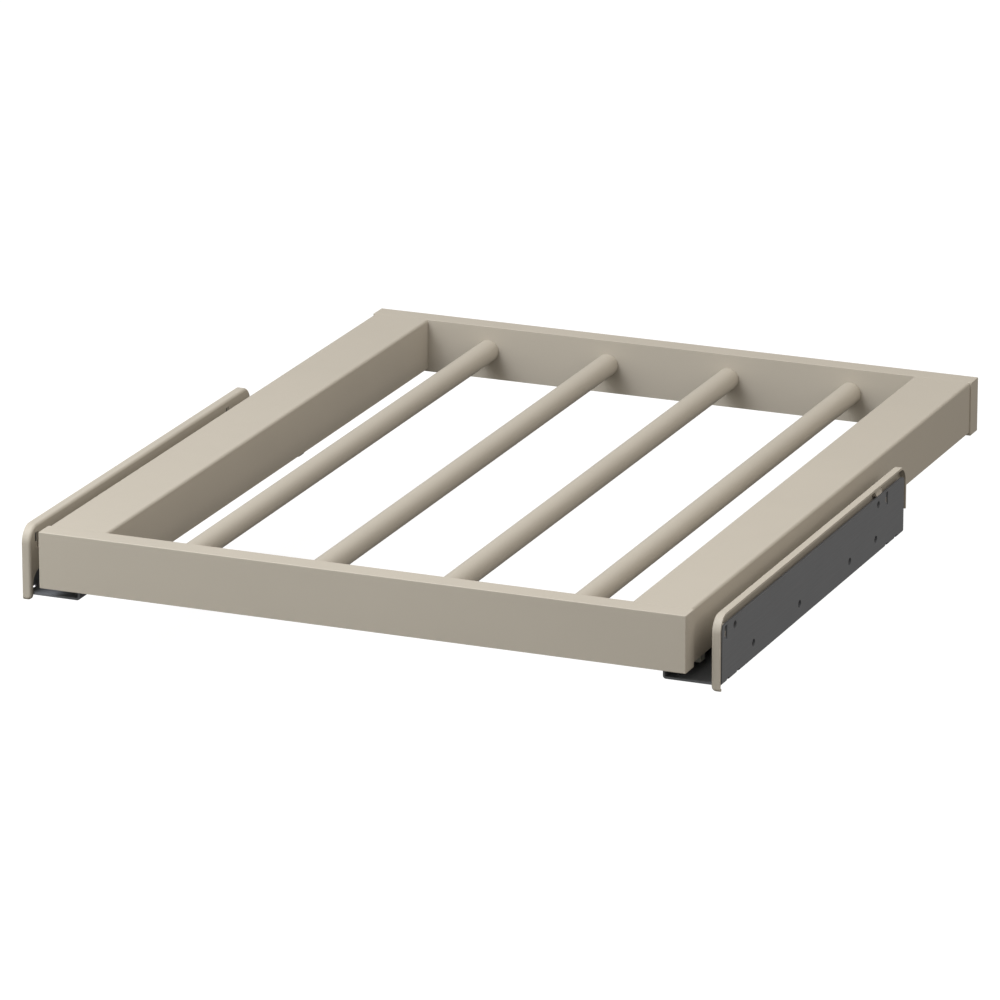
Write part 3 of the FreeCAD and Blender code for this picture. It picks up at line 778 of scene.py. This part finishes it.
class PaintShop:
    """Makes each finish once, and puts it on pieces and nodes."""

    def __init__(self) -> None:
        """Makes every finish's material."""
        self.materials = {finish.name: finish.material() for finish in FINISHES}

    def dress(self, piece: bpy.types.Object, slot: str) -> None:
        """Puts one finish all over a piece or a node."""
        piece.data.materials.clear()
        piece.data.materials.append(self.materials[slot])

    def hang(self, piece: bpy.types.Object, slot: str, body: str, *nodes: str) -> None:
        """Finishes a new piece, and lets it ride in place of its nodes.

        Args:
            piece: The finished mesh.
            slot: The material slot that it takes its finish from.
            body: The body that it moves with.
            nodes: The nodes that it stands for.
        """
        self.dress(piece, slot)
        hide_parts(*nodes)
        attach(piece, body)
        LOG.info("piece %s: %d faces, rides on %s", piece.name, len(piece.data.polygons), body)

    def hang_pair(self, right: Workpiece, left_name: str, arris: float, slot: str, body: str,
                  base: str) -> None:
        """Softens a right-hand piece and its mirror image, and lets both ride in place of their nodes.

        Args:
            right: The right-hand piece.
            left_name: The name of its mirror image.
            arris: The width of the softened arrises.
            slot: The material slot that both take their finish from.
            body: The body that both move with.
            base: The nodes' name without their side.
        """
        left = right.mirrored(left_name)
        for side, piece in ((Side.LEFT, left), (Side.RIGHT, right)):
            self.hang(piece.soften(arris), slot, body, side.named(base))


# ---------------- rack frame
@dataclass
class RackFrame:
    """The painted frame: front and rear rail, two side rails and four rods."""

    shop: PaintShop
    sheet: float = 1.5 * MM
    edge_round: float = 0.6 * MM
    edge_segments: int = 4
    inner_edge_round: float = 0.2 * MM
    inner_edge_segments: int = 2
    rim_round: float = 0.2 * MM
    side_rail_bend: float = 1.8 * MM
    bend_segments: int = 8
    seam_round: float = 0.06 * MM
    rod_count: int = 4
    rod_wall: float = 1.2 * MM
    rod_chamfer: float = 0.3 * MM
    rod_end_angle: float = 60.0
    rod_facets: int = 64
    notch_centre: float = 193.45 * MM
    notch_half: float = 10.15 * MM
    notch_top: float = 30.7 * MM
    reach: float = 2.0 * MM

    def build(self) -> None:
        """Builds and dresses every painted piece."""
        self.end_rail("front_rail", notched=False)
        self.end_rail("rear_rail", notched=True)
        self.shop.hang_pair(self.side_rail(), "left_side_rail", self.seam_round, "rack_paint", "rack",
                            "side_rail")
        for number in range(1, self.rod_count + 1):
            self.rod(f"rod_{number}")

    def end_rail(self, node: str, notched: bool) -> None:
        """Presses an end rail: a channel open underneath with closed ends.

        Args:
            node: The node that the rail stands for.
            notched: Whether its walls are notched over the runners.
        """
        low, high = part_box(node)
        inner_y = high.y if high.y < 0 else low.y
        rail = Workpiece.block(f"pressed_{node}", low, high)
        rail.pick_edges(lambda edge: not edge_at(edge, Axis.Z, low.z)
                        and not edge_at(edge, Axis.Y, inner_y))
        rail.round_off(self.edge_round, self.edge_segments)
        rail.pick_edges(lambda edge: edge_at(edge, Axis.Y, inner_y) and not edge_at(edge, Axis.Z, low.z))
        rail.round_off(self.inner_edge_round, self.inner_edge_segments).set_down()
        hollow_low = (low.x + self.sheet, low.y + self.sheet, low.z - self.reach)
        hollow_high = [edge - self.sheet for edge in high]
        cutters = [cutter(hollow_low, hollow_high)]
        if notched:
            for side in Side:
                centre = side.value * self.notch_centre
                cutters.append(cutter((centre - self.notch_half, low.y - self.reach, low.z - self.reach),
                                      (centre + self.notch_half, high.y + self.reach, self.notch_top)))
        rail.combine(cutters, Operation.CUT)
        self.shop.hang(rail.soften(self.rim_round), "rack_paint", "rack", node)

    def side_rail(self) -> Workpiece:
        """Folds the right-hand side rail: a wide channel open underneath and at both ends.

        Returns:
            The rail, in edit mode.
        """
        low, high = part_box("side_rail_right")
        rail = Workpiece.block("right_side_rail", low, high)
        rail.pick_edges(along(Axis.Y, z=high.z))
        rail.round_off(self.side_rail_bend, self.bend_segments)
        rail.pick_faces(lambda face: looks(face, Axis.Z, -1) or looks(face, Axis.Y, 1, -1)).remove_faces()
        return rail.thicken(self.sheet)

    def rod(self, node: str) -> None:
        """Draws one rod: a tube with chamfered ends between the end rails.

        Args:
            node: The node that the rod stands for.
        """
        low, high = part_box(node)
        centre = (low + high) / 2
        radius = (high.x - low.x) / 2
        rod = Workpiece.bar(f"tube_{node}", centre, radius, high.y - low.y, Axis.Y, self.rod_facets, False)
        rod.thicken(self.rod_wall)
        piece = rod.soften(self.rod_chamfer, sharpest=self.rod_end_angle)
        self.shop.hang(piece, "rack_paint", "rack", node)


# ---------------- runner brackets and covers
HOOK_PLACES = (-245.2 * MM, 39.8 * MM)
HOOK_BASE = 31.9 * MM
LIP_TOP = 23.0 * MM


@dataclass
class RunnerBracket:
    """The dark steel bracket on each side: plate, shelf and upturned lip from one folded strip."""

    shop: PaintShop
    sheet: float = 1.5 * MM
    bend: float = 2.0 * MM
    bend_segments: int = 6
    plate_corner: float = 3.0 * MM
    corner_segments: int = 6
    hole_radius: float = 2.5 * MM
    hole_facets: int = 32
    upper_holes: tuple[float, ...] = (-230.0 * MM, 24.0 * MM)
    upper_height: float = 35.3 * MM
    lower_holes: tuple[float, ...] = (-198.0 * MM, -118.0 * MM, -28.0 * MM, 20.0 * MM)
    lower_height: float = 13.7 * MM
    notches: tuple[float, ...] = (-240.1 * MM, -223.1 * MM, 40.9 * MM, 57.9 * MM)
    notch_half: float = 2.5 * MM
    notch_top: float = 5.35 * MM
    slot_half: float = 2.1 * MM
    slot_top: float = 39.4 * MM
    slot_step: float = 1.3 * MM
    reach: float = 3.0 * MM
    arris: float = 0.15 * MM

    def build(self) -> None:
        """Builds and dresses both brackets."""
        strip = self.folded_strip().set_down()
        strip.combine(self.punches(), Operation.CUT)
        self.shop.hang_pair(strip, "left_bracket_strip", self.arris, "dark_steel", "cabinet_side",
                            "runner_bracket")

    def folded_strip(self) -> Workpiece:
        """Folds the right-hand strip.

        Returns:
            The strip before its holes are punched, in edit mode.
        """
        low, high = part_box("runner_bracket_right")
        strip = Workpiece.block("right_bracket_strip", low, high)
        strip.pick_edges(along(Axis.Y, z=low.z))
        strip.round_off(self.bend, self.bend_segments)
        strip.pick_faces(lambda face: looks(face, Axis.Z, 1) or looks(face, Axis.Y, 1, -1)).remove_faces()
        strip.pick_edges(lambda edge: edge_at(edge, Axis.Z, high.z) and near(middle(edge).x, low.x))
        strip.shift((0.0, 0.0, LIP_TOP - high.z))
        strip.thicken(self.sheet)
        strip.pick_edges(along(Axis.X, z=high.z))
        return strip.round_off(self.plate_corner, self.corner_segments)

    def punches(self) -> list[Workpiece]:
        """Sets out the punches for the screw holes, the bend notches and the stepped hook slots.

        Returns:
            The punches, in object mode.
        """
        low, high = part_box("runner_bracket_right")
        plate_x = high.x - self.sheet / 2
        holes = [(y, self.upper_height) for y in self.upper_holes]
        holes += [(y, self.lower_height) for y in self.lower_holes]
        punches = [Workpiece.bar("punch", (plate_x, y, z), self.hole_radius, 2 * self.reach, Axis.X,
                                 self.hole_facets).set_down()
                   for y, z in holes]
        for y in self.notches:
            corner = (high.x - self.bend, y - self.notch_half, low.z - self.reach)
            far = (high.x + self.reach, y + self.notch_half, self.notch_top)
            punches.append(cutter(corner, far))
        for y in HOOK_PLACES:
            for start, base in ((-self.reach, HOOK_BASE), (0.0, HOOK_BASE - self.slot_step)):
                corner = (plate_x + start, y - self.slot_half, base)
                far = (high.x + self.reach, y + self.slot_half, self.slot_top)
                punches.append(cutter(corner, far))
        return punches


@dataclass
class RunnerCover:
    """The moulded trim over each bracket: a thin shell open outwards, with a foot at its front."""

    shop: PaintShop
    wall: float = 1.5 * MM
    skirt: float = 17.7 * MM
    corner: float = 10.5 * MM
    corner_segments: int = 16
    foot_depth: float = 2.9 * MM
    foot_sweep: float = 9.5 * MM
    sweep_segments: int = 12
    foot_round: float = 3.0 * MM
    foot_segments: int = 8
    edge_round: float = 2.0 * MM
    edge_segments: int = 6
    open_side: float = 1.0 * MM
    slant: float = 0.05
    hook_half: float = 1.8 * MM
    hook_height: float = 3.4 * MM
    barb: float = 1.0 * MM
    barb_x: float = 228.7 * MM
    hook_setback: float = 0.9 * MM
    window_gap: float = 0.6 * MM
    window_height: float = 10.1 * MM
    lugs: tuple[tuple[float, float], ...] = ((-250.0 * MM, 4.0 * MM), (24.5 * MM, 10.0 * MM))
    lug_base: float = 40.5 * MM
    lug_reach: float = 3.2 * MM
    lug_edge: float = 0.4 * MM
    reach: float = 2.0 * MM
    arris: float = 0.2 * MM

    def build(self) -> None:
        """Builds and dresses both covers."""
        shell = self.shell().set_down()
        shell.combine(self.windows(), Operation.CUT).set_down()
        shell.combine(self.hooks() + self.lug_pieces(), Operation.JOIN)
        self.shop.hang_pair(shell, "left_cover_shell", self.arris, "cover_plastic", "cabinet_side",
                            "runner_cover")

    def shell(self) -> Workpiece:
        """Moulds the right-hand shell: inner wall, rim and foot.

        Returns:
            The shell, in edit mode.
        """
        low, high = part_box("runner_cover_right")
        foot_back = low.y + self.foot_depth
        shell = Workpiece.block("right_cover_shell", (low.x, low.y, self.skirt), high)
        shell.pick_faces(lambda face: looks(face, Axis.Z, -1)).split(Axis.Y, foot_back)
        shell.pick_faces(lambda face: looks(face, Axis.Z, -1) and face.calc_center_median().y < foot_back)
        shell.draw_out((0.0, 0.0, low.z - self.skirt))
        shell.pick_edges(lambda edge: edge_at(edge, Axis.Z, self.skirt)
                         and middle(edge).y < foot_back - PLACE_TOLERANCE).merge_flats()
        for y, z, radius, segments in ((low.y, high.z, self.corner, self.corner_segments),
                                       (high.y, high.z, self.corner, self.corner_segments),
                                       (foot_back, self.skirt, self.foot_sweep, self.sweep_segments)):
            shell.pick_edges(along(Axis.X, y=y, z=z)).round_off(radius, segments)
        shell.pick_edges(along(Axis.Y, x=low.x, z=low.z)).round_off(self.foot_round, self.foot_segments)
        shell.pick_edges(lambda edge: self.is_rim(edge, low, high))
        shell.round_off(self.edge_round, self.edge_segments)
        shell.pick_faces(lambda face: self.is_open(face, low, high)).remove_faces()
        return shell.thicken(self.wall)

    def is_rim(self, edge: Edge, low: Vector, high: Vector) -> bool:
        """Says whether an edge is rounded.

        Args:
            edge: The edge to test.
            low: The shell's lowest corner.
            high: The shell's highest corner.

        Returns:
            True for the inner outline over the top, and for the foot's front.
        """
        spot = middle(edge)
        if edge_at(edge, Axis.X, low.x):
            return (spot.z > high.z - self.corner - PLACE_TOLERANCE
                    or near(spot.y, low.y) or near(spot.y, high.y))
        return (edge_at(edge, Axis.Y, low.y) and spot.z < self.foot_round + PLACE_TOLERANCE
                and spot.x < high.x - self.open_side)

    def is_open(self, face: Face, low: Vector, high: Vector) -> bool:
        """Says whether the shell is open at a face.

        Args:
            face: The face to test.
            low: The shell's lowest corner.
            high: The shell's highest corner.

        Returns:
            True outside, underneath and behind the foot.
        """
        spot = face.calc_center_median()
        foot_back = low.y + self.foot_depth
        outside = near(spot.x, high.x)
        underneath = face.normal.z < -self.slant and spot.y > foot_back - PLACE_TOLERANCE
        behind_foot = face.normal.y > self.slant and spot.y < foot_back + self.foot_sweep
        return outside or underneath or behind_foot

    def windows(self) -> list[Workpiece]:
        """Sets out the cutters for the windows around the hooks.

        Returns:
            The cutters, in object mode.
        """
        low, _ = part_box("runner_cover_right")
        half = self.hook_half + self.window_gap
        return [cutter((low.x - self.reach, y - half, HOOK_BASE),
                       (low.x + self.wall + self.reach, y + half, HOOK_BASE + self.window_height))
                for y in HOOK_PLACES]

    def hooks(self) -> list[Workpiece]:
        """Shapes the two hooks, each with its root and its barb.

        Returns:
            The hooks, in object mode.
        """
        low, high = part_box("runner_cover_right")
        start = low.x + self.wall / 2
        root_end = low.x + 2 * self.wall
        pieces = []
        for y in HOOK_PLACES:
            far = (high.x - self.hook_setback, y + self.hook_half, HOOK_BASE + self.hook_height)
            hook = Workpiece.block("hook", (start, y - self.hook_half, HOOK_BASE), far)
            hook.score(Axis.X, [root_end, self.barb_x])
            hook.pick_faces(lambda face: looks(face, Axis.Z, -1) and face.calc_center_median().x < root_end)
            hook.draw_out((0.0, 0.0, -self.wall))
            hook.pick_faces(lambda face: looks(face, Axis.Z, -1)
                            and face.calc_center_median().x > self.barb_x)
            hook.draw_out((0.0, 0.0, -self.barb))
            pieces.append(hook.set_down())
        return pieces

    def lug_pieces(self) -> list[Workpiece]:
        """Shapes the two wedges under the shell's top, cut off below its rounded corner.

        Returns:
            The wedges, in object mode.
        """
        low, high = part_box("runner_cover_right")
        start = low.x + self.wall / 2
        inner = low.x + self.wall
        pieces = []
        for y, length in self.lugs:
            run_in = max(0.0, self.corner - (y - low.y))
            drop = self.corner - math.sqrt(self.corner ** 2 - run_in ** 2)
            top = high.z - drop - self.wall / 2
            lug = Workpiece.block("lug", (start, y, self.lug_base), (inner + self.lug_reach, y + length, top))
            lug.pick_edges(along(Axis.Y, x=inner + self.lug_reach, z=top))
            lug.shift((self.lug_edge - self.lug_reach, 0.0, 0.0))
            pieces.append(lug.set_down())
        return pieces


@dataclass
class EndBuffer:
    """The rubber buffers pressed over the rear end of each bracket's lip, with round toes."""

    shop: PaintShop
    shoulder: float = 2.0 * MM
    toe: float = 4.0 * MM
    round_segments: int = 6
    lip_start: float = 192.7 * MM
    lip_end: float = 194.2 * MM
    bend_end: float = 194.7 * MM
    bend_top: float = 5.1 * MM
    reach: float = 2.0 * MM
    arris: float = 0.3 * MM

    def build(self) -> None:
        """Builds and dresses both buffers."""
        low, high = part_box("end_buffer_right")
        block = Workpiece.block("right_rubber_buffer", low, high)
        for height, radius in ((high.z, self.shoulder), (low.z, self.toe)):
            block.pick_edges(along(Axis.Y, z=height)).round_off(radius, self.round_segments)
        block.set_down()
        corner = (self.lip_start, low.y - self.reach, low.z - self.reach)
        slots = [cutter(corner, (end, high.y + self.reach, top))
                 for end, top in ((self.lip_end, LIP_TOP), (self.bend_end, self.bend_top))]
        block.combine(slots, Operation.CUT)
        self.shop.hang_pair(block, "left_rubber_buffer", self.arris, "buffer_rubber", "cabinet_side",
                            "end_buffer")


# ---------------- kept nodes
@dataclass
class Mechanism:
    """The runners, clips, dampers and fasteners, which keep the shapes of their nodes."""

    shop: PaintShop
    nodes: dict[str, bpy.types.Object]
    flat_angle: float = 0.5
    sharp_angle: float = 40.0

    ARRISES = {
        "zinc_steel": 0.12 * MM,
        "cage_plastic": 0.08 * MM,
        "clip_plastic": 0.2 * MM,
        "screw_steel": 0.1 * MM,
        "plug_aluminium": 0.1 * MM,
        "damper_plastic": 0.2 * MM,
        "damper_aluminium": 0.15 * MM,
        "damper_steel": 0.1 * MM,
    }

    def dress(self, slots: dict[str, str]) -> None:
        """Finishes every node that still shows.

        Args:
            slots: The material slot of each node.
        """
        for name, node in sorted(self.nodes.items()):
            if node.hide_render:
                continue
            slot = slots[name]
            self.shop.dress(node, slot)
            if slot in self.ARRISES:
                self.soften(node, self.ARRISES[slot])
            LOG.info("node %s: finish %s", name, slot)

    def soften(self, node: bpy.types.Object, radius: float) -> None:
        """Softens the arrises of a node, with modifiers alone.

        Args:
            node: The node's object.
            radius: The width of the softened arris.
        """
        modify(node, "WELD", merge_threshold=WELD_DISTANCE)
        modify(node, "DECIMATE", decimate_type="DISSOLVE", angle_limit=math.radians(self.flat_angle))
        modify(node, "BEVEL", width=radius, segments=ARRIS_SEGMENTS,
               angle_limit=math.radians(self.sharp_angle))
        modify(node, "WEIGHTED_NORMAL")


# ---------------- studio
@dataclass(frozen=True)
class SoftPanel:
    """One broad square light, which faces the middle of the part."""

    name: str
    place: Point
    power: float
    size: float = 1.5
    colour: Colour = (0.97, 1.0, 1.03)

    def hang(self) -> None:
        """Puts the panel in its place, out of the camera's sight."""
        light = bpy.data.lights.new(self.name, "AREA")
        light.shape = "SQUARE"
        light.size = self.size
        light.energy = self.power
        light.color = self.colour
        lamp = bpy.data.objects.new(self.name, light)
        bpy.context.scene.collection.objects.link(lamp)
        lamp.location = self.place
        lamp.rotation_euler = (-Vector(self.place)).to_track_quat("-Z", "Y").to_euler()
        lamp.visible_camera = False


@dataclass
class Studio:
    """The pale floor, the surroundings, the soft lights and the camera."""

    floor_size: float = 60.0
    floor_height: float = -0.05
    floor_colour: Colour = (0.13, 0.13, 0.13)
    floor_glow: float = 0.95
    room_colour: Colour = (1.0, 0.95, 0.87)
    room_above: float = 0.46
    room_below: float = 0.16
    room_blend: float = 0.4
    panels: tuple[SoftPanel, ...] = (
        SoftPanel("key_panel", (-0.86, -1.04, 1.83), 44.5),
        SoftPanel("right_panel", (1.5, -0.1, 1.3), 12.9, colour=(1.0, 0.96, 0.89)),
        SoftPanel("front_panel", (-0.9, -1.6, 0.5), 7.0, size=1.0, colour=(0.98, 0.99, 0.93)),
    )
    camera_place: Point = (1.72548, -4.22082, 1.46886)
    camera_tilt: float = 17.65348
    camera_turn: float = 22.4246
    camera_reach: float = 100.0
    lens: float = 270.845

    def build(self) -> None:
        """Sets up the whole studio."""
        self.floor()
        self.surroundings()
        for panel in self.panels:
            panel.hang()
        self.camera()
        bpy.context.scene.view_settings.view_transform = "Standard"

    def floor(self) -> None:
        """Lays the floor, which glows faintly but doesn't light the part."""
        clear_selection()
        bpy.ops.mesh.primitive_plane_add(size=self.floor_size, location=(0.0, 0.0, self.floor_height))
        floor = bpy.context.object
        floor.name = "studio_floor"
        material = bpy.data.materials.new("floor_paper")
        material.use_nodes = True
        shader = material.node_tree.nodes["Principled BSDF"]
        for name, value in (("Base Color", (*self.floor_colour, 1.0)), ("Roughness", 1.0),
                            ("Specular IOR Level", 0.0), ("Emission Color", (1.0, 1.0, 1.0, 1.0)),
                            ("Emission Strength", self.floor_glow)):
            shader.inputs[name].default_value = value
        floor.data.materials.append(material)
        floor.visible_diffuse = False
        floor.visible_glossy = False

    def surroundings(self) -> None:
        """Lights the surroundings softly, more from above than from below."""
        world = bpy.data.worlds.new("soft_room")
        bpy.context.scene.world = world
        world.use_nodes = True
        tree = world.node_tree
        background = tree.nodes["Background"]
        background.inputs["Color"].default_value = (*self.room_colour, 1.0)
        split = tree.nodes.new("ShaderNodeSeparateXYZ")
        tree.links.new(tree.nodes.new("ShaderNodeTexCoord").outputs["Generated"], split.inputs["Vector"])
        fade = tree.nodes.new("ShaderNodeMapRange")
        fade.interpolation_type = "SMOOTHSTEP"
        for name, number in (("From Min", -self.room_blend), ("From Max", self.room_blend),
                             ("To Min", self.room_below), ("To Max", self.room_above)):
            fade.inputs[name].default_value = number
        tree.links.new(split.outputs["Z"], fade.inputs["Value"])
        tree.links.new(fade.outputs["Result"], background.inputs["Strength"])

    def camera(self) -> None:
        """Sets up the camera."""
        data = bpy.data.cameras.new("camera")
        data.lens = self.lens
        data.clip_end = self.camera_reach
        camera = bpy.data.objects.new("camera", data)
        bpy.context.scene.collection.objects.link(camera)
        camera.location = self.camera_place
        camera.rotation_euler = (math.pi / 2 - math.radians(self.camera_tilt), 0.0,
                                 math.radians(self.camera_turn))
        bpy.context.scene.camera = camera


def node_slots(record: dict) -> dict[str, str]:
    """Returns the material slot of each node in the record."""
    return {part["node"]: part["material_slot"] for part in record["subparts"]}


def main() -> None:
    """Builds the pieces in order and dresses what is kept."""
    logging.basicConfig(level=logging.INFO, format="%(message)s")
    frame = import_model()
    shop = PaintShop()
    RackFrame(shop).build()
    RunnerBracket(shop).build()
    RunnerCover(shop).build()
    EndBuffer(shop).build()
    Mechanism(shop, frame["nodes"]).dress(node_slots(frame["record"]))
    Studio().build()


if __name__ == "__main__":
    main()
